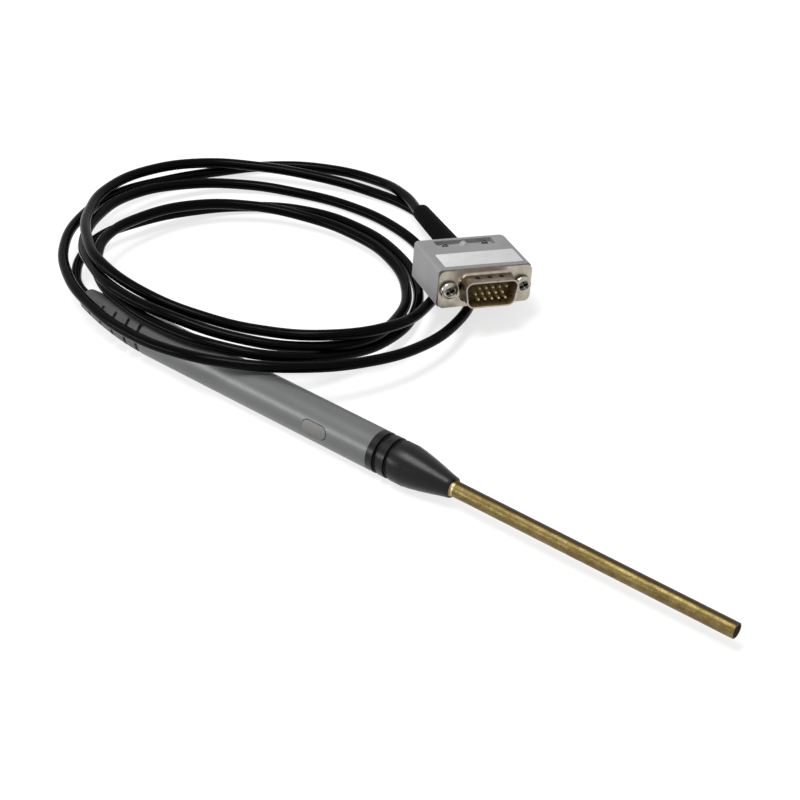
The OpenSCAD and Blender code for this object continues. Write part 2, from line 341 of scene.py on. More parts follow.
def set_apart(piece: Piece, wanted: Chooser, number: int = 1) -> Piece:
    """Set chosen faces of a piece apart for another finish.

    Args:
        piece: The piece to look through.
        wanted: Gets a face's middle and its normal.
        number: Which of the piece's other finishes they get.

    Returns:
        The piece.
    """
    while len(piece.data.materials) <= number:
        piece.data.materials.append(None)
    for face in piece.data.polygons:
        if wanted(face.center, face.normal):
            face.material_index = number
    return piece


def smooth(piece: Piece, corner: float = 38.0) -> Piece:
    """Shade a piece smooth and keep its corners.

    Args:
        piece: The piece to shade.
        corner: Angle in degrees above which an edge stays sharp.

    Returns:
        The piece.
    """
    take(piece)
    bpy.ops.object.shade_smooth_by_angle(angle=math.radians(corner))
    return piece


def turned(name: str, outline: Outline, sides: int = 96) -> Piece:
    """Turn a piece on the X axis, drawn out of a circle ring by ring.

    An outline that comes back to its first station makes a ring. Any other
    one makes a solid with a flat at each end.

    Args:
        name: Name of the piece.
        outline: Stations along X and their radii, in millimetres.
        sides: Points around.

    Returns:
        The closed piece, its faces outwards.
    """
    clear_bench()
    x, r = outline[0]
    bpy.ops.mesh.primitive_circle_add(
        vertices=sides, radius=r, fill_type="NOTHING",
        location=(x, 0, 0), rotation=(0, QUARTER, 0))
    piece = fix_place(name_newest(name))
    bpy.ops.object.mode_set(mode="EDIT")
    bpy.ops.mesh.select_mode(type="VERT")
    bpy.ops.mesh.select_all(action="SELECT")
    for nx, nr in outline[1:]:
        bpy.ops.mesh.extrude_region_move(
            TRANSFORM_OT_translate={"value": (nx - x, 0, 0)})
        bpy.ops.transform.resize(
            value=(1, nr / r, nr / r), center_override=(nx, 0, 0))
        x, r = nx, nr
    if tuple(outline[0]) != tuple(outline[-1]):
        bpy.ops.mesh.edge_face_add()
        bpy.ops.mesh.select_all(action="DESELECT")
        bpy.ops.mesh.select_non_manifold()
        bpy.ops.mesh.edge_face_add()
    bpy.ops.mesh.select_all(action="SELECT")
    bpy.ops.mesh.remove_doubles(threshold=0.0005)
    bpy.ops.mesh.normals_make_consistent(inside=False)
    bpy.ops.object.mode_set(mode="OBJECT")
    return piece


def block(name: str, low: Point, high: Point) -> Piece:
    """Saw a block to size.

    Args:
        name: Name of the piece.
        low: Its lowest corner in millimetres.
        high: Its highest corner.

    Returns:
        The block.
    """
    clear_bench()
    a, b = Vector(low), Vector(high)
    bpy.ops.mesh.primitive_cube_add(size=1, location=(a + b) / 2, scale=b - a)
    return fix_place(name_newest(name))


def rod(name: str, x0: float, x1: float, r: float, y: float = 0.0, z: float = 0.0,
        sides: int = 48) -> Piece:
    """Cut a round bar along X.

    Args:
        name: Name of the piece.
        x0: Its rear end in millimetres.
        x1: Its front end.
        r: Its radius.
        y: Y of its axis.
        z: Z of its axis.
        sides: Points around.

    Returns:
        The bar.
    """
    clear_bench()
    bpy.ops.mesh.primitive_cylinder_add(
        vertices=sides, radius=r, depth=x1 - x0,
        location=((x0 + x1) / 2, y, z), rotation=(0, QUARTER, 0))
    return fix_place(name_newest(name))


def obround(name: str, length: float, width: float, z0: float, z1: float) -> Piece:
    """Draw a bar with half-round ends out of a short cylinder.

    Args:
        name: Name of the piece.
        length: Over both round ends, along X, in millimetres.
        width: Across them.
        z0: Its lower face.
        z1: Its upper face.

    Returns:
        The bar.
    """
    clear_bench()
    sides = 80
    bpy.ops.mesh.primitive_cylinder_add(
        vertices=sides, radius=width / 2, depth=z1 - z0,
        location=(0, 0, (z0 + z1) / 2), rotation=(0, 0, math.pi / sides))
    piece = fix_place(name_newest(name))
    for way in BOTH:
        mark(piece, "FACE", lambda middle, normal, w=way: (
            abs(normal.z) < 0.5 and w * normal.x > 0.01))
        bpy.ops.mesh.select_mode(type="VERT")
        bpy.ops.transform.translate(value=(way * (length - width) / 2, 0, 0))
        bpy.ops.object.mode_set(mode="OBJECT")
    return piece


# Node sheets


def light(tone: Tone) -> tuple[float, float, float, float]:
    """Turn a printed tone, 0 to 255, into linear light.

    Args:
        tone: Red, green and blue.

    Returns:
        Linear red, green, blue and alpha.
    """
    line = [c / 255 for c in tone]
    r, g, b = (c / 12.92 if c <= 0.04045 else ((c + 0.055) / 1.055) ** 2.4 for c in line)
    return r, g, b, 1.0


class Tree:
    """A node tree, with one call that adds, sets and links a node."""

    def __init__(self, tree: bpy.types.NodeTree) -> None:
        """Empty the node tree of a material or world."""
        self.tree = tree
        tree.nodes.clear()

    def add(self, kind: str, inputs: dict[str | int, object], out: str | int = 0,
            **options: str) -> Socket:
        """Add a node, set or link its inputs, and hand over one output.

        Args:
            kind: The node's type.
            inputs: A value or a socket for each input, by name or number.
            out: The output that is wanted.
            options: The node's own settings.

        Returns:
            The output socket.
        """
        node = self.tree.nodes.new("ShaderNode" + kind)
        for name, value in options.items():
            setattr(node, name, value)
        for name, value in inputs.items():
            if isinstance(value, Socket):
                self.tree.links.new(value, node.inputs[name])
            else:
                node.inputs[name].default_value = value
        return node.outputs[out]

    def close(self, kind: str, shader: Socket) -> None:
        """Lead a shader to the surface of a new output node."""
        out = self.tree.nodes.new("ShaderNode" + kind)
        self.tree.links.new(shader, out.inputs["Surface"])

    def seen_rays(self) -> Socket:
        """Make a socket that is 1 for camera, glossy and transmission rays.

        Returns:
            The socket.
        """
        share = self.add("LightPath", {}, "Is Camera Ray")
        for name in ("Is Glossy Ray", "Is Transmission Ray"):
            other = self.add("LightPath", {}, name)
            share = self.add("Math", {0: share, 1: other}, operation="MAXIMUM")
        return share


class Sheet(Tree):
    """The node sheet of one finish, with the calls its finishes share."""

    def __init__(self, name: str) -> None:
        """Make a material and empty its sheet.

        Args:
            name: Name of the material.
        """
        self.material = bpy.data.materials.new(name)
        self.material.use_nodes = True
        super().__init__(self.material.node_tree)

    def grid(self, stretch: Point = (1, 1, 1)) -> Socket:
        """Object coordinates in millimetres, stretched for a pattern."""
        place = self.add("TexCoord", {}, "Object")
        return self.add("Mapping", {"Scale": [s / MM for s in stretch], "Vector": place}, "Vector")

    def noise(self, size: float, detail: float = 2.0, stretch: Point = (1, 1, 1),
              rough: float = 0.5) -> Socket:
        """Cloudy noise of a given grain.

        Args:
            size: Grain in millimetres.
            detail: Octaves of finer grain.
            stretch: Relative frequency along each axis.
            rough: Weight of the finer grain.

        Returns:
            The value socket, 0 to 1.
        """
        return self.add("TexNoise", {"Scale": 1.0 / size, "Detail": detail, "Roughness": rough,
                                     "Vector": self.grid(stretch)}, "Fac")

    def cells(self, size: float) -> Socket:
        """Distance to points scattered at a mean spacing in millimetres."""
        return self.add("TexVoronoi", {"Scale": 1.0 / size, "Vector": self.grid()}, "Distance")

    def reach(self, along: Point) -> Socket:
        """How many millimetres a point lies along a direction of one unit."""
        return self.add("VectorMath", {0: self.grid(), 1: along}, "Value", operation="DOT_PRODUCT")

    def fit(self, value: Socket, span: Span, to: Span) -> Socket:
        """Map a span of a value onto another, and clamp it.

        Args:
            value: The socket to map.
            span: From where to where it is read.
            to: What those two become.

        Returns:
            The mapped socket.
        """
        return self.add("MapRange", {"Value": value, "From Min": span[0], "From Max": span[1],
                                     "To Min": to[0], "To Max": to[1]}, "Result")

    def tint(self, share: Socket, low: Tone | Socket, high: Tone) -> Socket:
        """Mix two tones: a share of 0 gives the low one, of 1 the high one."""
        first = low if isinstance(low, Socket) else light(low)
        return self.add("Mix", {0: share, 6: first, 7: light(high)}, 2, data_type="RGBA")

    def relief(self, height: Socket, depth: float, under: Socket | None = None) -> Socket:
        """Raise the surface by a height.

        Args:
            height: The height socket, 0 to 1.
            depth: What 1 stands for, in millimetres.
            under: The relief it lies on, if any.

        Returns:
            The normal socket.
        """
        inputs = {"Strength": 1.0, "Distance": depth * MM, "Height": height}
        if under is not None:
            inputs["Normal"] = under
        return self.add("Bump", inputs, "Normal")

    def dress(self, colour: Socket, rough: Socket, normal: Socket, **more: float) -> bpy.types.Material:
        """Put the finished colour, roughness and relief on the shader.

        Args:
            colour: The colour socket.
            rough: The roughness socket.
            normal: The normal socket.
            more: Metallic or gloss, where they aren't the shader's own.

        Returns:
            The material.
        """
        inputs = {"Base Color": colour, "Roughness": rough, "Normal": normal}
        for name, value in more.items():
            inputs[{"metal": "Metallic", "gloss": "Specular IOR Level"}[name]] = value
        self.close("OutputMaterial", self.add("BsdfPrincipled", inputs, "BSDF"))
        return self.material


@dataclass(frozen=True)
class Moulded:
    """A moulded plastic or rubber: a tone, faint flow marks, a fine grain."""

    name: str
    tone: Tone
    shade: Tone
    rough: tuple[float, float] = (0.42, 0.52)
    grain: float = 0.35
    depth: float = 0.008
    gloss: float = 0.4
    specks: Tone | None = None

    def make(self) -> bpy.types.Material:
        """Make the material.

        Returns:
            The finished material.
        """
        sheet = Sheet(self.name)
        flow = sheet.noise(9.0, 3.0)
        fine = sheet.noise(self.grain, 2.0)
        colour = sheet.tint(sheet.fit(flow, (0.3, 0.7), (0, 1)), self.shade, self.tone)
        if self.specks is not None:
            dust = sheet.fit(sheet.cells(1.1), (0.045, 0.09), (0.55, 0.0))
            colour = sheet.tint(dust, colour, self.specks)
        rough = sheet.fit(fine, (0.3, 0.7), self.rough)
        return sheet.dress(colour, rough, sheet.relief(fine, self.depth), gloss=self.gloss)


@dataclass(frozen=True)
class Jacket:
    """The soft black jacket of the cord, with scuffs and a faint ripple."""

    name: str
    tone: Tone = (3, 3, 4)
    scuffed: Tone = (8, 8, 9)
    rough: tuple[float, float] = (0.14, 0.2)
    gloss: float = 0.04

    def make(self) -> bpy.types.Material:
        """Make the material.

        Returns:
            The finished material.
        """
        sheet = Sheet(self.name)
        dusty = sheet.noise(5.5, 4.0, rough=0.6)
        fine = sheet.noise(0.5, 3.0)
        ripple = sheet.noise(2.4, 1.0)
        colour = sheet.tint(sheet.fit(dusty, (0.58, 0.8), (0, 1)), self.tone, self.scuffed)
        rough = sheet.fit(dusty, (0.35, 0.7), self.rough)
        under = sheet.relief(ripple, 0.03)
        return sheet.dress(colour, rough, sheet.relief(fine, 0.006, under), gloss=self.gloss)


@dataclass(frozen=True)
class Drawn:
    """Drawn brass tube: cloudy tarnish, dark specks, a pitted skin, and painted shade on its upper far
    side.
    """

    name: str
    tone: Tone = (124, 110, 70)
    tarnish: Tone = (96, 80, 46)
    speck: Tone = (62, 48, 26)
    # Painted shade: the tone that the tube's upper far side darkens to
    painted_shade: Tone = (60, 49, 27)
    rough: tuple[float, float] = (0.34, 0.46)
    # Direction of that painted shade, and its span along it in millimetres
    shaded: Point = (0.0, 0.518, 0.855)
    shade_span: tuple[float, float] = (7.0, 7.5)

    def make(self) -> bpy.types.Material:
        """Make the material.

        Returns:
            The finished material.
        """
        sheet = Sheet(self.name)
        cloud = sheet.noise(1.8, 6.0, (0.5, 1, 1), 0.72)
        fine = sheet.noise(0.3, 3.0, rough=0.6)
        drawn = sheet.noise(0.25, 2.0, (0.04, 1, 1))
        colour = sheet.tint(sheet.fit(cloud, (0.36, 0.64), (0, 1)), self.tarnish, self.tone)
        colour = sheet.tint(sheet.fit(fine, (0.53, 0.68), (0, 0.85)), colour, self.speck)
        # Painted shade: darken the tube towards its upper far side
        far_side = sheet.fit(sheet.reach(self.shaded), self.shade_span, (0, 0.9))
        colour = sheet.tint(far_side, colour, self.painted_shade)
        rough = sheet.fit(cloud, (0.3, 0.7), (self.rough[1], self.rough[0]))
        under = sheet.relief(drawn, 0.004)
        return sheet.dress(colour, rough, sheet.relief(fine, 0.012, under), metal=1.0)


@dataclass(frozen=True)
class Plated:
    """Plated sheet or screws: a bright metal, clouded and lightly brushed."""

    name: str
    tone: Tone
    cloud: Tone
    rough: tuple[float, float] = (0.2, 0.36)
    brushed: Point = (1, 1, 0.12)
    metal: float = 1.0

    def make(self) -> bpy.types.Material:
        """Make the material.

        Returns:
            The finished material.
        """
        sheet = Sheet(self.name)
        stain = sheet.noise(3.4, 4.0, rough=0.6)
        brush = sheet.noise(0.22, 3.0, self.brushed)
        colour = sheet.tint(sheet.fit(stain, (0.34, 0.66), (0, 1)), self.cloud, self.tone)
        rough = sheet.fit(stain, (0.3, 0.7), (self.rough[1], self.rough[0]))
        return sheet.dress(colour, rough, sheet.relief(brush, 0.003), metal=self.metal)


@dataclass(frozen=True)
class Paper:
    """A blank satin label: off-white with faint fibres."""

    name: str
    tone: Tone = (228, 228, 228)
    shade: Tone = (222, 222, 223)

    def make(self) -> bpy.types.Material:
        """Make the material.

        Returns:
            The finished material.
        """
        sheet = Sheet(self.name)
        cloud = sheet.noise(4.0, 3.0)
        fibre = sheet.noise(0.18, 3.0, (1, 0.25, 1))
        colour = sheet.tint(sheet.fit(cloud, (0.35, 0.65), (0, 1)), self.shade, self.tone)
        rough = sheet.fit(fibre, (0.3, 0.7), (0.5, 0.62))
        return sheet.dress(colour, rough, sheet.relief(fibre, 0.004), gloss=0.35)


@dataclass(frozen=True)
class Board:
    """A coated circuit board: green lacquer over faint copper runs."""

    name: str
    tone: Tone = (22, 84, 52)
    run: Tone = (34, 108, 66)

    def make(self) -> bpy.types.Material:
        """Make the material.

        Returns:
            The finished material.
        """
        sheet = Sheet(self.name)
        bands = sheet.add("TexWave", {"Scale": 0.32, "Distortion": 3.0, "Vector": sheet.grid()}, "Fac")
        runs = sheet.fit(bands, (0.78, 0.84), (0, 1))
        colour = sheet.tint(runs, self.tone, self.run)
        rough = sheet.fit(sheet.noise(0.6), (0.3, 0.7), (0.3, 0.4))
        return sheet.dress(colour, rough, sheet.relief(runs, 0.03))


# Every finish of the probe: its name, its tones, its roughness and its grain
FINISHES: tuple[Moulded | Jacket | Drawn | Plated | Paper | Board, ...] = (
    Moulded("grey_handle", (93, 95, 94), (88, 90, 89), (0.35, 0.41), 0.4, 0.004, 0.68),
    Moulded("grey_soft", (104, 104, 103), (88, 88, 87), (0.55, 0.68), 0.7, 0.02, 0.3),
    Moulded("grey_button", (126, 125, 121), (118, 117, 113), (0.5, 0.6), 0.35, 0.008, 0.35),
    Moulded("black_nose", (9, 9, 9), (6, 6, 6), (0.27, 0.33), 0.5, 0.003, 0.23, (60, 58, 54)),
    Moulded("black_boot", (5, 5, 6), (4, 4, 4), (0.6, 0.76), 0.45, 0.02, 0.03),
    Moulded("tan_block", (130, 111, 70), (106, 88, 55), (0.4, 0.5), 0.4, 0.008, 0.3),
    Moulded("black_chip", (26, 26, 28), (20, 20, 22)),
    Moulded("hood_grey", (147, 147, 147), (139, 139, 140), (0.4, 0.52), 0.45, 0.008, 0.4),
    # Painted light: a paler copy of the hood's plastic for the pane and its rib
    Moulded("pane_painted_light", (182, 183, 182), (164, 165, 164), (0.4, 0.52), 0.5, 0.012, 0.4),
    # Painted shade: a dark copy of the hood's plastic for the posts in the window
    Moulded("post_painted_shade", (52, 52, 52), (34, 34, 34), (0.2, 0.3), 0.4, 0.01, 0.7),
    Moulded("pale_plastic", (214, 208, 186), (204, 197, 172)),
    Moulded("carrier_film", (168, 112, 42), (148, 94, 32), (0.25, 0.35)),
    Moulded("dark_resin", (54, 48, 48), (28, 26, 23), (0.7, 0.8), 0.6, 0.02, 0.06),
    Jacket("cord_jacket"),
    Drawn("brass"),
    # Painted highlight: a pale copy of the brass for the band at the stem's root
    Drawn("brass_painted_highlight", (206, 190, 152), (182, 162, 118), (130, 112, 70)),
    Plated("flange_tin", (182, 175, 161), (156, 147, 131), (0.3, 0.42)),
    # Copies of the flange's plating: painted shade on the D skin, rim and dimples, painted reflection
    # inside
    Plated("shell_tin_painted_shade", (134, 120, 104), (92, 80, 66), (0.14, 0.26), (1, 0.3, 0.3)),
    Plated("shell_inside_painted_reflection", (158, 136, 102), (126, 106, 76), (0.4, 0.5), (1, 0.3, 0.3), 0.6),
    Plated("shell_rim_painted_shade", (104, 96, 80), (80, 72, 58), (0.26, 0.38), (1, 0.3, 0.3)),
    Plated("shell_dimple_painted_shade", (32, 26, 20), (22, 18, 14), (0.3, 0.44)),
    Plated("bright_screw", (178, 174, 166), (140, 135, 126), (0.14, 0.26)),
    # Painted shade: a dark copy of the screws' plating for the recess and the edge under the head
    Plated("screw_painted_shade", (94, 90, 83), (62, 58, 52), (0.2, 0.32)),
    Plated("gold", (216, 201, 160), (190, 173, 128), (0.36, 0.46), (0.1, 1, 1), 0.3),
    Paper("label"),
    Board("board"),
)


class Paint:
    """Makes each finish the first time that a piece asks for it."""

    def __init__(self) -> None:
        """Start with no material made."""
        self.finishes = {finish.name: finish for finish in FINISHES}
        self.made: dict[str, bpy.types.Material] = {}

    def mix(self, finish: str) -> bpy.types.Material:
        """Get the material of a finish.

        Args:
            finish: Its name in FINISHES.

        Returns:
            The material, made now or before.
        """
        if finish not in self.made:
            self.made[finish] = self.finishes[finish].make()
        return self.made[finish]

    def coat(self, piece: Piece, finish: str, *others: str) -> Piece:
        """Give a piece one finish, and the faces set apart on it others.

        Args:
            piece: A new piece or a carried-over node.
            finish: The finish of the piece.
            others: The finishes of the faces that are set apart, if any are.

        Returns:
            The piece.
        """
        if not piece.data.materials:
            piece.data.materials.append(None)
        finishes = (finish, *others)
        for number, slot in enumerate(piece.material_slots):
            slot.link = "OBJECT"
            slot.material = self.mix(finishes[number if number < len(finishes) else 0])
        return piece


@dataclass
class Fitter:
    """Puts finished pieces on their bodies in place of their nodes."""

    paint: Paint
    nodes: dict[str, Piece]

    def fit(self, piece: Piece, finish: str, slot: str, *nodes: str,
            body: Body = Body.PROBE, others: Sequence[str] = ()) -> Piece:
        """Dress a new piece and let it stand for nodes.

        Args:
            piece: The piece, settled in the row's frame.
            finish: Its finish.
            slot: The record's material slot that the finish comes from; not used.
            nodes: The nodes that it stands for.
            body: The body that it rides on.
            others: The finishes of the faces that are set apart on it.

        Returns:
            The piece.
        """
        self.paint.coat(piece, finish, *others)
        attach(piece, body.value)
        if nodes:
            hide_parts(*nodes)
        log.info("%s: %d faces, %s", piece.name, len(getattr(piece.data, "polygons", ())), finish)
        return piece

    def keep(self, node: str, finish: str) -> Piece:
        """Keep a node's own mesh and give it a finish.

        Args:
            node: Name of the node.
            finish: Its finish.

        Returns:
            The node's object.
        """
        log.info("%s: kept, %s", node, finish)
        return self.paint.coat(self.nodes[node], finish)


@dataclass
class Section:
    """A stretch of the object: where it lies, and what its pieces go on with."""

    fitter: Fitter
    place: Matrix

    def put(self, piece: Piece, finish: str, slot: str, *nodes: str, corner: float = 35.0,
            body: Body = Body.PROBE, others: Sequence[str] = ()) -> Piece:
        """Smooth a piece, carry it into the row's frame and fit it.

        Args:
            piece: The piece, shaped on the bench.
            finish: Its finish.
            slot: The record's material slot that the finish comes from.
            nodes: The nodes that it stands for.
            corner: Angle in degrees above which an edge stays sharp.
            body: The body that it rides on.
            others: The finishes of the faces that are set apart on it.

        Returns:
            The piece.
        """
        settled = settle(smooth(piece, corner), self.place)
        return self.fitter.fit(settled, finish, slot, *nodes, body=body, others=others)


# Studio


@dataclass
class Studio:
    """Camera, pale floor and soft lamps."""

    eye: Point = (0.30842, -0.37755, 0.40231)
    azimuth: float = 38.536
    elevation: float = 37.736
    lens: float = 96.75
    ambient: float = 0.28
    strip: float = 4.0
    top: float = 5.2
    floor_glow: float = 0.72

    def place_camera(self) -> None:
        """Set the camera at the photograph's place and angle."""
        camera = bpy.data.cameras.new("camera")
        camera.lens = self.lens
        camera.sensor_width = 36.0
        camera.clip_start = 0.01
        eye = bpy.data.objects.new("camera", camera)
        turn = Euler((math.radians(90 - self.elevation), 0, math.radians(self.azimuth)))
        eye.matrix_world = Matrix.Translation(self.eye) @ turn.to_matrix().to_4x4()
        bpy.context.collection.objects.link(eye)
        bpy.context.scene.camera = eye
        bpy.context.scene.view_settings.view_transform = "Standard"

    def hang_lamp(self, name: str, at: Point, target: Point, size: Span, power: float) -> None:
        """Hang a soft lamp that looks at the object.

        Args:
            name: Name of the lamp.
            at: Its place in metres.
            target: The point that it looks at.
            size: Its width and height in metres.
            power: Its power in watts.
        """
        lamp = bpy.data.lights.new(name, "AREA")
        lamp.shape = "RECTANGLE"
        lamp.size, lamp.size_y = size
        lamp.energy = power
        holder = bpy.data.objects.new(name, lamp)
        aim = (Vector(target) - Vector(at)).to_track_quat("-Z", "Y")
        holder.matrix_world = Matrix.Translation(at) @ aim.to_matrix().to_4x4()
        bpy.context.collection.objects.link(holder)

    def open_sky(self) -> None:
        """Even light all round, which the camera sees as white."""
        world = bpy.data.worlds.new("studio")
        bpy.context.scene.world = world
        world.use_nodes = True
        tree = Tree(world.node_tree)
        even, white = (tree.add("Background", {"Color": (1, 1, 1, 1), "Strength": strength})
                       for strength in (self.ambient, 1.0))
        tree.close("OutputWorld", tree.add("MixShader", {0: tree.seen_rays(), 1: even, 2: white}))

    def lay_floor(self) -> None:
        """Lay a pale floor that keeps the object's shadow."""
        clear_bench()
        bpy.ops.mesh.primitive_plane_add(size=6.0, location=(0, 0, -0.0002))
        floor = name_newest("floor")
        material = bpy.data.materials.new("pale_floor")
        material.use_nodes = True
        tree = Tree(material.node_tree)
        matt = tree.add("BsdfDiffuse", {"Color": (0.5, 0.5, 0.5, 1)})
        none, glow = (tree.add("Emission", {"Strength": strength})
                      for strength in (0.0, self.floor_glow))
        seen = tree.add("MixShader", {0: tree.seen_rays(), 1: none, 2: glow})
        tree.close("OutputMaterial", tree.add("AddShader", {0: matt, 1: seen}))
        floor.data.materials.append(material)

    def build(self) -> None:
        """Set up the whole studio."""
        self.place_camera()
        self.open_sky()
        self.hang_lamp("strip_lamp", (-0.68, -0.57, 0.22), (-0.68, 0.0, 0.0), (0.86, 0.16), self.strip)
        self.hang_lamp("top_lamp", (-0.12, -0.17, 0.88), (-0.12, 0.03, 0.0), (0.34, 0.45), self.top)
        self.lay_floor()


# Cord


@dataclass
class Cord(Section):
    """The round cord on its coiled way to the plug, whose place it gets."""

    diameter: float = 3.5
    length: float = 1.65
    exit: Point = (-121.5, 2.5, 6.45)
    lift: float = 0.2
    lifted_from: int = 5
    ends: Point = (-59.9, -42.4, -20.6)
    route: tuple[Point, ...] = (
        (-107, 0.8, 6.45), (-121.5, 2.5, 6.45), (-129, 5, 6.5), (-135.5, 10.5, 6.5),
        (-140.5, 18.1, 6.5), (-144.2, 29.3, 6), (-142, 45.5, 4.8), (-134.3, 64.5, 3),
        (-122, 80, 1.8), (-105, 90, 1.7), (-85, 93, 1.7), (-66, 89.5, 1.7), (-49, 79.5, 2),
        (-38, 65, 2.8), (-33.9, 47.8, 4.3), (-36.5, 28.4, 7.9), (-46.4, 11.1, 12.3),
        (-63.7, 0.6, 14.6), (-84.3, -2.6, 14.6), (-103.5, -0.2, 13.9), (-120.1, 6.5, 11.9),
        (-130.9, 16.2, 11.4), (-137.4, 27.4, 10.8), (-137.8, 43.4, 9.6), (-131.5, 61, 8),
        (-118, 75, 6.3), (-100.1, 83.5, 4.8), (-80.6, 86, 4.2), (-62.6, 82.3, 4.3),
        (-46.1, 70.8, 4.8), (-36.5, 53.6, 7.2), (-34.8, 34, 10.6), (-45.4, 20.1, 11.4),
        (-62.7, 8.2, 13.8), (-83.6, 0.9, 16.8), (-104, -0.6, 17.9), (-124.4, 7.3, 15.5),
        (-139.5, 18.5, 12), (-150, 36, 9.5), (-153, 55, 7), (-146, 73.5, 4.6), (-132.5, 88, 2.7),
        (-115, 97, 1.7), (-95.5, 101.5, 1.7), (-75.5, 101, 1.7), (-57, 94.5, 2), (-41.4, 81.2, 4.5),
        (-32.4, 64.3, 8.2), (-29.9, 41.4, 13.9), (-41.3, 24.7, 15.1), (-59.1, 15.1, 14.3),
        (-77.4, 9.3, 14.5), (-95.8, 4.4, 17.3), (-115.8, 4.8, 20.1), (-134.6, 15.7, 18),
        (-149, 31, 14.3), (-157.5, 48, 11.2), (-158, 67, 8.6), (-149, 84.5, 6.8), (-133, 97, 5.5),
        (-115, 106, 4.2), (-97, 112.5, 2.3), (-77, 113.5, 1.7), (-58.5, 107, 1.7),
        (-41.8, 95.8, 2.4), (-28, 82, 4.5), (-20.5, 64, 7), (-19.7, 44.1, 9.3), (-25.9, 25.2, 11.7),
        (-37.2, 9.1, 13.8), (-52.5, -3.1, 15.2), (-71.5, -10.4, 15.3), (-91.9, -10.9, 14),
        (-111, -6.5, 12.7), (-129.8, 1.8, 11.6), (-145, 15, 10.5), (-154.5, 32.5, 9),
        (-158, 51.5, 6.7), (-154, 70.5, 4.3), (-146, 89, 2.2), (-133.5, 105, 1.7),
        (-117, 115.5, 1.7), (-98, 119.5, 2.3), (-81.6, 114.6, 5.2))

    def way(self) -> list[Vector]:
        """Follow the route, and then the plug's own axis into its boot.

        Returns:
            The points of the cord's axis, in metres.
        """
        points = [Vector(place) for place in self.route]
        for point in points[self.lifted_from:]:
            point.z += self.lift
        points += [self.place @ Vector((x, 0, 0)) for x in self.ends]
        return [point * MM for point in points]

    def build(self) -> Piece:
        """Lay the cord along its route.

        Returns:
            The cord, a curve with a round section.
        """
        line = bpy.data.curves.new("cord", "CURVE")
        line.dimensions = "3D"
        line.resolution_u = 8
        line.bevel_depth = self.diameter / 2 * MM
        line.bevel_resolution = 5
        line.use_fill_caps = True
        way = self.way()
        spline = line.splines.new("BEZIER")
        spline.bezier_points.add(len(way) - 1)
        for knot, place in zip(spline.bezier_points, way):
            knot.co = place
            knot.handle_left_type = knot.handle_right_type = "AUTO"
        cord = bpy.data.objects.new("cord", line)
        bpy.context.collection.objects.link(cord)
        return self.fitter.fit(cord, "cord_jacket", "cord_jacket", "cable")

    def declare(self, cord: Piece, pieces: Sequence[Piece]) -> None:
        """Take the cord and the plug's pieces; nothing is done with them.

        Args:
            cord: The cord; not used.
            pieces: The plug's pieces; not used.
        """


# Probe


@dataclass
class Stem(Section):
    """Brass tube with its dark potted tip, and a painted highlight at its root."""

    radius: float = 2.4
    root: float = 2.65
    bore: float = 2.0
    back: float = -8.3
    nose: float = 27.3
    tip: float = 121.5
    # Length of the painted highlight band in front of the nose
    highlight_length: float = 1.1

    def build(self) -> None:
        """Turn the tube and its potting."""
        back, nose, tip, bore, r = self.back, self.nose, self.tip, self.bore, self.radius
        tube = turned("stem_tube", (
            (back, bore), (back, self.root), (nose, self.root), (nose, r), (nose + self.highlight_length, r),
            (tip - 0.12, r), (tip, r - 0.12), (tip, bore + 0.04), (tip - 0.08, bore), (back, bore)), 72)
        # Painted highlight: the band just in front of the nose gets the pale brass
        set_apart(tube, lambda middle, normal: nose - 0.1 < middle.x < nose + self.highlight_length)
        self.put(tube, "brass", "brass_stem", "probe_tube", corner=30, others=("brass_painted_highlight",))
        potting = turned("tip_filling", (
            (tip - 2.1, bore - 0.01), (tip - 0.12, bore - 0.01), (tip - 0.16, bore - 0.35),
            (tip - 0.14, bore - 0.9), (tip - 0.1, 0.4)), 72)
        self.put(potting, "dark_resin", "dark_resin", "tip_potting", corner=50)


@dataclass
class Nose(Section):
    """Black nose with two ring grooves and a long convex taper."""

    radius: float = 6.45
    bore: float = 2.65
    spigot: float = 5.0
    groove: float = 5.45
    front: float = -0.3
    ogive: Outline = ((12.8, 6.27), (14.3, 6.08), (15.7, 5.82), (17.2, 5.54), (18.7, 5.23),
                      (20.2, 4.89), (21.7, 4.54), (23.2, 4.18), (24.7, 3.82), (26.2, 3.48),
                      (27.4, 3.24), (27.6, 3.1))

    def ring_groove(self, at: float) -> list[tuple[float, float]]:
        """Outline of one ring groove and of the land's edges beside it.

        Args:
            at: Where it starts, in front of the barrel.

        Returns:
            Its stations and their radii, in millimetres.
        """
        x, r, g = self.front + at, self.radius, self.groove
        return [(x, r - 0.12), (x + 0.02, g + 0.1), (x + 0.12, g), (x + 1.42, g),
                (x + 1.52, g + 0.1), (x + 1.54, r - 0.14), (x + 1.68, r - 0.02)]

    def build(self) -> None:
        """Turn the nose."""
        r, x, back = self.radius, self.front, self.front - 8
        stations = [(back, self.bore), (back, self.spigot), (x, self.spigot), (x, r - 0.06),
                    (x + 0.08, r), (x + 2.16, r), *self.ring_groove(2.28), (x + 6.16, r - 0.02),
                    *self.ring_groove(6.28), (x + 12.1, r - 0.02), (x + 12.3, r - 0.08)]
        stations += [(x + along, radius) for along, radius in self.ogive]
        stations += [(x + 27.6, 2.8), (x + 27.45, self.bore), (back, self.bore)]
        self.put(turned("grooved_nose", stations), "black_nose", "black_plastic", "nose_cone", corner=34)


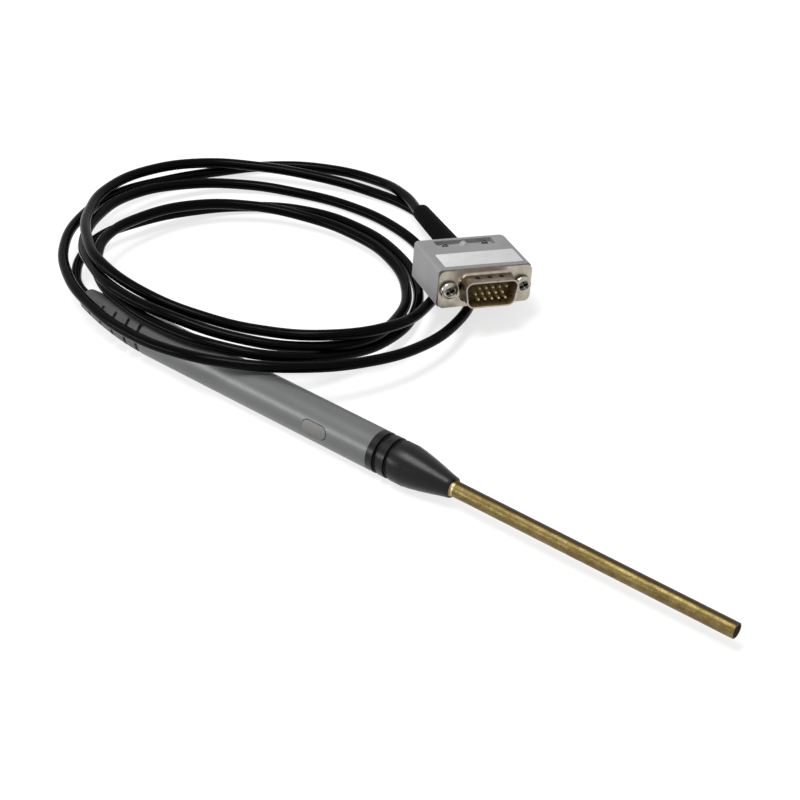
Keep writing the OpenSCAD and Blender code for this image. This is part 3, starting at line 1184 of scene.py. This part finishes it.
@dataclass
class Handle(Section):
    """Grey barrel with an obround opening, and its button."""

    radius: float = 6.45
    bore: float = 5.0
    front: float = -0.3
    rear: float = -91.5
    button_at: float = -19.9
    button_length: float = 9.0
    button_width: float = 4.2
    button_proud: float = 0.2
    button_angle: float = 15.0
    gap: float = 0.44

    def button_frame(self) -> Matrix:
        """Find the frame of the button on the barrel: X along it, Z outwards.

        Returns:
            The frame, seen from the barrel's own.
        """
        lift = Matrix.Translation((self.button_at, 0, self.radius))
        turn = Matrix.Rotation(math.radians(90 - self.button_angle), 4, "X")
        return self.place.inverted() @ (lift @ turn)

    def build_barrel(self) -> None:
        """Turn the barrel and mill the button's opening."""
        r, f, b = self.radius, self.front, self.rear
        barrel = turned("grey_barrel", (
            (f, self.bore), (b, self.bore), (b, r - 0.12), (b + 0.12, r),
            (f - 0.1, r), (f, r - 0.1), (f, self.bore)), 128)
        cutter = obround("opening", self.button_length + self.gap, self.button_width + self.gap,
                         1.0, 12.0)
        combine(barrel, "DIFFERENCE", moved(cutter, self.button_frame()))
        self.put(barrel, "grey_handle", "grey_plastic", "handle_barrel", corner=30)

    def button_part(self, wider: Span, radius: float) -> Piece:
        """Trim an obround bar to a round skin about the barrel's axis.

        Args:
            wider: How much longer and wider than the button it is.
            radius: Radius of the skin in millimetres.

        Returns:
            The trimmed bar.
        """
        bar = obround("obround_button", self.button_length + wider[0], self.button_width + wider[1],
                      3.3, 9.0)
        skin = rod("skin", self.button_at - 10, self.button_at + 10, radius, sides=160)
        return combine(moved(bar, self.button_frame()), "INTERSECT", skin)

    def build_button(self) -> None:
        """Shape the button's cap and the flange that keeps it in."""
        cap = break_edges(self.button_part((0, 0), self.radius + self.button_proud), Edge.SOFT, 40)
        flange = self.button_part((2, 1), self.bore - 0.06)
        self.put(gather("obround_button", cap, flange), "grey_button", "button_plastic", "push_button",
                 corner=30, body=Body.BUTTON)


@dataclass
class Relief(Section):
    """Soft slotted strain relief, bent a little by the cord."""

    start: float = -91.5
    spigot: float = 5.0
    bore: float = 1.76
    slots: tuple[float, ...] = (1.1, 6.3, 12.3, 18.3, 24.3)
    slot_width: float = 1.2
    slot_reach: float = 0.88
    straight: float = 3.0
    bend: float = 0.3067

    def radius_at(self, back: float) -> float:
        """Outer radius at a distance behind the barrel, in millimetres."""
        t = max(0.0, min(1.0, back / 30))
        return 6.35 - 0.5 * t - 3.5 * t * t + 1.05 * t ** 3

    def bent(self, back: float) -> tuple[Vector, float]:
        """Place and turn of the bent axis at a distance behind the barrel.

        Args:
            back: Distance along the axis in millimetres.

        Returns:
            The point on the axis, and its turn in radians.
        """
        way = math.radians(self.bend)
        past = max(0.0, back - self.straight)
        turn = way * past
        if past == 0.0:
            return Vector((self.start - back, 0, 0)), 0.0
        x = self.start - self.straight - math.sin(turn) / way
        return Vector((x, (1 - math.cos(turn)) / way, 0)), turn

    def bend_piece(self, piece: Piece) -> None:
        """Bend a straight piece along the axis that the cord pulls it to.

        Args:
            piece: The piece, straight, behind the barrel.
        """
        for point in piece.data.vertices:
            back = self.start - point.co.x
            if back > self.straight:
                middle, turn = self.bent(back)
                y = point.co.y
                point.co = middle + Vector((math.sin(turn) * y, math.cos(turn) * y, point.co.z))

    def saw(self, back: float, side: int) -> Piece:
        """Shape what saws one slot down to the relief's core.

        Args:
            back: The slot's middle, behind the barrel.
            side: 1 for the left side and -1 for the right.

        Returns:
            The saw.
        """
        x, r, half = self.start - back, self.radius_at(back), self.slot_width / 2
        low, high = sorted((side * 2.5, side * 9.0))
        reach = self.slot_reach * r
        saw = block("saw", (x - half, low, -reach), (x + half, high, reach))
        return combine(saw, "DIFFERENCE", rod("core", x - 2, x + 2, r - 1.7, sides=64))

    def build(self) -> None:
        """Turn the relief, saw its slots and bend it."""
        x, end = self.start, self.radius_at(30)
        stations = [(x + 8, self.bore), (x + 8, self.spigot), (x, self.spigot),
                    (x, self.radius_at(0) - 0.15)]
        stations += [(x - 0.15 - 1.7 * i, self.radius_at(0.15 + 1.7 * i)) for i in range(18)]
        stations += [(x - 29.7, end + 0.02), (x - 29.92, end - 0.12), (x - 30, end - 0.35),
                     (x - 30, self.bore + 0.25), (x - 29.8, self.bore), (x + 8, self.bore)]
        relief = turned("strain_relief", stations, 96)
        for back in self.slots:
            for side in BOTH:
                combine(relief, "DIFFERENCE", self.saw(back, side))
        close_up(relief, BEFORE_ROUNDING)
        self.bend_piece(relief)
        self.put(relief, "grey_soft", "grey_soft", "tail_relief")


# Plug


@dataclass
class Plug(Section):
    """Grey hood with its label, and the fifteen-way face in a plated shell."""

    width: float = 31.5
    height: float = 12.6
    depth: float = 24.9
    wall: float = 1.5
    base: float = 1.4
    plate: float = 0.6
    span: float = 25.0
    screw_hole: float = 1.5
    closer_at: Span = (-5.2, 12.5)
    shell: float = 5.9
    d_wall: float = 0.45
    d_width: float = 17.82
    d_height: float = 8.9
    d_corner: float = 2.5
    d_lean: float = 10.0
    boot: float = 35.0
    pitch: float = 2.29
    row: float = 1.98
    pin: float = 0.45
    window: tuple[float, float, float, float] = (-22.6, -9.5, -18.0, 10.5)
    posts: Outline = ((-20.1, -6.3), (-20.6, 7.6))
    label: tuple[float, float, float, float] = (-12.5, -12.8, -3.0, 13.8)
    label_thickness: float = 0.15
    dimples: tuple[float, ...] = (-3.9, 0.1, 4.1)

    def build_boot(self) -> list[Piece]:
        """Turn the black boot behind the hood.

        Returns:
            The boot.
        """
        x = -self.depth
        rear = x - self.boot
        boot = turned("cord_boot", (
            (rear + 0.4, 1.8), (rear, 2.05), (rear, 2.5), (rear + 0.15, 2.74), (rear + 0.5, 2.9),
            (rear + 3, 2.97), (rear + 12, 3.13), (rear + 22, 3.31), (x - 2.2, 3.5), (x - 1.2, 3.55),
            (x, 3.55), (x, 1.8), (rear + 0.4, 1.8)), 72)
        moved(boot, Matrix.Translation((0, 0.6, 0)))
        neck = turned("neck", ((x - 0.1, 1.76), (x - 0.1, 3.1), (x + 1.5, 3.1), (x + 1.5, 3.6),
                               (x + 2.4, 3.6), (x + 2.4, 1.76), (x - 0.1, 1.76)), 48)
        return [self.put(gather("cord_boot", boot, neck), "black_boot", "boot_rubber", "cable_boot")]

    def hood_block(self, z0: float, z1: float, far: float) -> Piece:
        """Saw and round the outside of the hood or of its lid.

        Args:
            z0: Lower face in millimetres.
            z1: Upper face.
            far: Which of the two has its edges rounded.

        Returns:
            The rounded block.
        """
        w, rear, front = self.width / 2, -self.depth, -2 * self.plate
        solid = block("hood", (rear, -w, z0), (front, w, z1))

        def upright(a: Vector, b: Vector) -> bool:
            """Choose the two upright edges at the rear."""
            return abs(a.z - b.z) > 1.0 and max(a.x, b.x) < rear + 0.1

        def outer(a: Vector, b: Vector) -> bool:
            """Choose the long edges and the rear edge of the far face.

            Args:
                a: One end of the edge.
                b: Its other end.

            Returns:
                Whether the edge is one of them.
            """
            along = min(abs(a.y), abs(b.y)) > w - 2.05 and min(a.x, b.x) < front - 0.01
            flat = max(abs(a.z - far), abs(b.z - far)) < 0.01
            return flat and (along or max(a.x, b.x) < rear + 0.01)

        round_edges(solid, upright, 2.0, 8)
        return round_edges(solid, outer, 1.1, 6)

    def build_hood(self) -> list[Piece]:
        """Shape the hood and its lid.

        Returns:
            Both pieces.
        """
        top, rear, side = self.height / 2, -self.depth, self.width / 2 - self.wall
        inner, floor = top - self.wall, -top + self.base
        hood = self.hood_block(floor, top, top)
        room = block("room", (rear + self.wall, -side, floor - 1), (-9.2, side, inner))
        front = block("front", (-9.3, -9.7, floor - 1), (0.3, 9.7, inner))
        x0, y0, x1, y1 = self.window
        window = block("window", (x0, y0, 0), (x1, y1, 9))
        hole = rod("hole", rear - 1, rear + 3, 3.12)
        combine(hood, "DIFFERENCE", room, front, window, hole, *self.screw_holes(-9.5))
        break_edges(hood, Edge.MOULDED, 50).name = "plug_hood"
        lid = self.hood_block(-top, floor, -top)
        for way in BOTH:
            at = Matrix.Translation((self.closer_at[0], way * self.closer_at[1], -top - 3.3))
            sink = moved(rod("sink", 0, 4, 1.5), at @ Matrix.Rotation(-QUARTER, 4, "Y"))
            combine(lid, "DIFFERENCE", sink)
        break_edges(lid, Edge.CRISP, 50).name = "hood_lid"
        return [self.put(hood, "hood_grey", "hood_plastic", "hood_shell"),
                self.put(lid, "hood_grey", "hood_plastic", "hood_base")]

    def screw_holes(self, back: float) -> list[Piece]:
        """Bars that drill the jack screws' two holes, from a depth forwards."""
        return [rod("screw_hole", back, 1, self.screw_hole, way * self.span / 2) for way in BOTH]

    def build_window(self) -> list[Piece]:
        """Shape the pane under the window, its rib and its two posts.

        Returns:
            The pane and the posts.
        """
        rear, under = -self.depth, self.height / 2 - self.wall
        _, y0, x1, y1 = self.window
        # The pane and its rib get painted light: a paler copy of the hood's plastic
        pane = block("pane", (rear + self.wall, y0 - 1.6, under - 0.8),
                     (x1 + 0.4 + self.wall, y1 + 1.6, under))
        rib = block("rib", (rear + 2.0, -0.8, under - 0.1), (rear + 5.0, 2.4, under + 0.95))
        taper(rib, lambda middle, normal: normal.z > 0.5, (0.9, 0.3, 1), (rear + 2.0, 0.8, 0))
        pane = gather("pane", break_edges(pane, Edge.CRISP), break_edges(rib, Edge.MOULDED))
        posts = []
        # The posts get painted shade: a dark copy of the hood's plastic
        for x, y in self.posts:
            post = turned("post", ((-0.1, 1.1), (0.15, 1.02), (1.15, 0.98), (1.25, 0.88),
                                   (1.25, 0.52), (0.7, 0.44)), 40)
            at = Matrix.Translation((x, y, under)) @ Matrix.Rotation(-QUARTER, 4, "Y")
            posts.append(moved(post, at))
        return [self.put(pane, "pane_painted_light", "hood_plastic", "window_pane"),
                self.put(gather("window_posts", *posts), "post_painted_shade", "hood_plastic")]

    def build_label(self) -> list[Piece]:
        """Cut the blank label with its rounded corners.

        Returns:
            The label.
        """
        top = self.height / 2
        x0, y0, x1, y1 = self.label
        label = block("blank_label", (x0, y0, top), (x1, y1, top + self.label_thickness))
        round_edges(label, lambda a, b: abs(a.z - b.z) > 0.1, 0.5, 5)
        break_edges(label, Edge.CRISP, 60)
        return [self.put(label, "label", "white_label", "hood_label", corner=30)]

    def d_block(self, x0: float, x1: float, grow: float) -> Piece:
        """Saw a D-shaped block: wide at the top, sides sloping in.

        Args:
            x0: Its rear face in millimetres.
            x1: Its front face.
            grow: How far it stands outside the shell's outline.

        Returns:
            The block with its four rounded corners.
        """
        r, lean = self.d_corner, math.radians(self.d_lean)
        mid_y, mid_z, reach = self.d_width / 2 - r, self.d_height / 2 - r, r + grow
        high, low = self.d_height / 2 + grow, -self.d_height / 2 - grow

        def side(z: float) -> float:
            """Half the width of the sharp-cornered outline at a height."""
            return mid_y + (reach + (z - mid_z) * math.sin(lean)) / math.cos(lean)

        solid = block("d_block", (x0, -side(high), low), (x1, side(high), high))
        taper(solid, lambda middle, normal: normal.z < -0.5,
              (1, side(low) / side(high), 1), (0, 0, 0))
        round_edges(solid, lambda a, b: abs(a.x - b.x) > 0.2 and a.z > 0.1,
                    reach / math.tan(math.radians(45 - self.d_lean / 2)), 12)
        return round_edges(solid, lambda a, b: abs(a.x - b.x) > 0.2 and max(a.z, b.z) < low + 0.1,
                           reach / math.tan(math.radians(45 + self.d_lean / 2)), 12)

    def flange(self, x0: float, x1: float) -> Piece:
        """Saw a flange plate with rounded corners.

        Args:
            x0: Its rear face in millimetres.
            x1: Its front face.

        Returns:
            The plate.
        """
        w, h = self.width / 2, self.height / 2
        plate = block("flange", (x0, -w, -h), (x1, w, h))
        return round_edges(plate, lambda a, b: abs(a.x - b.x) > 0.1, 2.0, 10)

    def part_shell(self, front: Piece) -> None:
        """Set the D shell's skin, dimples, inside and flange rim apart, for painted shade and painted
        reflection.

        Args:
            front: The front shell.
        """
        half_w, half_h, rim = self.d_width / 2, self.d_height / 2, self.shell - 0.02

        def outwards(middle: Vector, normal: Vector) -> float:
            """Above zero where a face looks away from the shell's axis."""
            return middle.y * normal.y + middle.z * normal.z

        # Painted shade: the D shell's outside gets a darker copy of the flange's plating
        set_apart(front, lambda middle, normal: 0.5 < middle.x < rim or (
            abs(middle.y) < half_w and abs(middle.z) < half_h and 0.02 < middle.x < rim))
        # Painted reflection: the shell's inside walls get a browner copy of the plating
        set_apart(front, lambda middle, normal: (
            -0.7 < middle.x < rim and outwards(middle, normal) < -0.1), 3)
        # Painted shade: the flange's outer edges get a dark copy of the plating
        set_apart(front, lambda middle, normal: (
            normal.x < 0.5 and middle.x < -0.03 and outwards(middle, normal) > 0.1), 4)
        # Painted shade: the three dimples get a near-black copy of the plating
        set_apart(front, lambda middle, normal: 1.3 < middle.x < 3.7 and normal.z > 0.1 and (
            half_h - 0.44 < middle.z < half_h - 0.03 and abs(middle.y) < 5.2), 2)

    def build_shells(self) -> list[Piece]:
        """Press the front shell with its flared root, and the rear one.

        Returns:
            Both shells.
        """
        half_w, half_h = self.d_width / 2, self.d_height / 2
        front = self.flange(-self.plate, 0)
        combine(front, "UNION", self.d_block(-0.3, self.shell, 0))

        def root(a: Vector, b: Vector) -> bool:
            """Choose the corner between the flange and the D shell."""
            return (max(abs(a.x), abs(b.x)) < 0.01 and max(abs(a.z), abs(b.z)) < half_h + 0.2
                    and max(abs(a.y), abs(b.y)) < half_w + 0.2)

        round_edges(front, root, 0.8, 5)
        inside = self.d_block(-1, self.shell + 1, -self.d_wall)
        combine(front, "DIFFERENCE", inside, *self.screw_holes(-2))
        for y in self.dimples:
            clear_bench()
            bpy.ops.mesh.primitive_uv_sphere_add(
                segments=24, ring_count=16, radius=0.95,
                location=(2.5, y, half_h + 0.52), scale=(1.2, 1, 1))
            combine(front, "DIFFERENCE", fix_place(name_newest("dimple")))
        close_up(front, BEFORE_ROUNDING).name = "front_shell_plated"
        self.part_shell(front)
        rear = self.flange(-2 * self.plate, -self.plate)
        combine(rear, "UNION", self.d_block(-5.4, -self.plate - 0.1, 0.2))
        combine(rear, "DIFFERENCE", self.d_block(-6, 1, -self.d_wall), *self.screw_holes(-3))
        break_edges(rear, Edge.CRISP, 50).name = "rear_shell_plated"
        # The D shell's set-apart faces and the whole rear shell carry painted shade and painted
        # reflection
        return [self.put(front, "flange_tin", "plated_shell", "front_shell",
                         others=("shell_tin_painted_shade", "shell_dimple_painted_shade", "shell_inside_painted_reflection", "shell_rim_painted_shade")),
                self.put(rear, "shell_rim_painted_shade", "plated_shell", "rear_shell")]

    def contact_places(self) -> list[Span]:
        """Place the fifteen contacts in three staggered rows.

        Returns:
            Y and Z of each, in millimetres.
        """
        shift = self.pitch / 4
        return [(i * self.pitch + (shift if row else -shift), row * self.row)
                for row in (-1, 0, 1) for i in (-2, -1, 0, 1, 2)]

    def build_contacts(self) -> list[Piece]:
        """Mould the contact block and turn the fifteen pins.

        Returns:
            The block and the pins.
        """
        body = self.d_block(-7.6, 0.4, -self.d_wall - 0.01)
        r = self.pin
        pin = turned("pin", ((-11.4, r + 0.3), (-7.62, r + 0.3), (-7.6, r), (4.5, r), (4.8, r - 0.03),
                             (5.08, r - 0.12), (5.25, r - 0.25), (5.3, 0.05)), 28)
        for y, z in self.contact_places():
            combine(body, "DIFFERENCE", rod("pin_hole", -9, 2, r, y, z, 28),
                    rod("mouth", 0.12, 2, r + 0.2, y, z, 28))
        break_edges(body, Edge.CRISP, 50).name = "contact_block"
        places = [Vector((0, y, z)) for y, z in self.contact_places()]
        pins = repeat("contact_pins_gilt", pin, places)
        return [self.put(body, "tan_block", "black_insulator", "insulator"),
                self.put(pins, "gold", "gold_pins", "contact_pins")]

    def cross_cutter(self) -> Piece:
        """Make the tapered cross that cuts a screw's recess.

        Returns:
            The cutter, about the X axis.
        """
        arms = []
        for turn in (0.0, QUARTER):
            arm = block("arm", (0.6, -1.9, -0.62), (2.6, 1.9, 0.62))
            taper(arm, lambda middle, normal: normal.x < -0.5, (1, 0.4, 0.45), (0.6, 0, 0))
            arms.append(moved(arm, Matrix.Rotation(turn + math.radians(24), 4, "X")))
        return combine(arms[0], "UNION", arms[1])

    def build_jacks(self) -> list[Piece]:
        """Turn the two pan-headed jack screws.

        Returns:
            The pair.
        """
        jack = turned("jack", (
            (-8, 1.2), (-7.7, 1.5), (0, 1.5), (0, 2.82), (0.08, 2.9), (0.95, 2.9), (1.25, 2.84),
            (1.55, 2.64), (1.78, 2.3), (1.93, 1.8), (2.0, 1.1), (2.02, 0.4)), 64)
        break_edges(combine(jack, "DIFFERENCE", self.cross_cutter()), Edge.CRISP, 55)
        places = [Vector((0, way * self.span / 2, 0)) for way in BOTH]
        jacks = repeat("jack_screw_pair", jack, places)

        def dark(middle: Vector, normal: Vector) -> bool:
            """Choose the recess and the edge under the head, which get painted shade."""
            out = math.hypot(abs(middle.y) - self.span / 2, middle.z)
            return (middle.x > 0.3 and out < 1.6) or (middle.x < 0.9 and out > 2.7)

        # Painted shade: the chosen faces get the dark copy of the plating
        set_apart(jacks, dark)
        return [self.put(jacks, "bright_screw", "bright_metal", "jack_screws",
                         others=("screw_painted_shade",))]

    def build_closers(self) -> list[Piece]:
        """Turn the two small screws that close the hood from below.

        Returns:
            The pair.
        """
        small = turned("small", (
            (-2.8, 0.7), (-2.7, 0.8), (0, 0.8), (0, 1.42), (0.06, 1.48), (0.35, 1.48),
            (0.52, 1.3), (0.6, 0.9), (0.6, 0.3)), 40)
        shrink = Matrix.Translation((-0.15, 0, 0)) @ Matrix.Scale(0.42, 4)
        combine(small, "DIFFERENCE", moved(self.cross_cutter(), shrink))
        x, y = self.closer_at
        places = [Vector((x, way * y, -self.height / 2 + 0.7)) for way in BOTH]
        closers = repeat("closing_screws", small, places, Euler((0, QUARTER, 0)))
        return [self.put(closers, "bright_screw", "bright_metal", "hood_screws")]

    def build(self) -> list[Piece]:
        """Build the whole plug.

        Returns:
            Every piece that goes with the cord.
        """
        parts = (self.build_boot, self.build_hood, self.build_window, self.build_label,
                 self.build_shells, self.build_contacts, self.build_jacks, self.build_closers)
        pieces = [piece for part in parts for piece in part()]
        return pieces + [self.fitter.keep("memory_board", "board")]


def main() -> None:
    """Load the solids and build every piece around them."""
    logging.basicConfig(level=logging.INFO, format="%(name)s %(message)s")
    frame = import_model()
    Studio().build()
    fitter = Fitter(Paint(), frame["nodes"])
    turn = Euler([math.radians(a) for a in PLUG_TURN]).to_matrix().to_4x4()
    plug = Matrix.Translation(PLUG_AT) @ turn
    cord_maker = Cord(fitter, plug)
    cord = cord_maker.build()
    axis = Matrix.Translation((0, 0, AXIS_HEIGHT))
    Stem(fitter, axis).build()
    Nose(fitter, axis).build()
    handle = Handle(fitter, axis)
    handle.build_barrel()
    handle.build_button()
    Relief(fitter, axis).build()
    inside = {
        "hall_sensor": "black_chip", "sensor_carrier": "carrier_film", "stem_collar": "bright_screw",
        "handle_board": "board", "tact_switch": "black_chip", "switch_plunger": "pale_plastic",
        "cord_ferrule": "bright_screw",
    }
    for node, finish in inside.items():
        fitter.keep(node, finish)
    cord_maker.declare(cord, Plug(fitter, plug).build())
    clear_bench()
    bpy.context.view_layer.update()


if __name__ == "__main__":
    main()
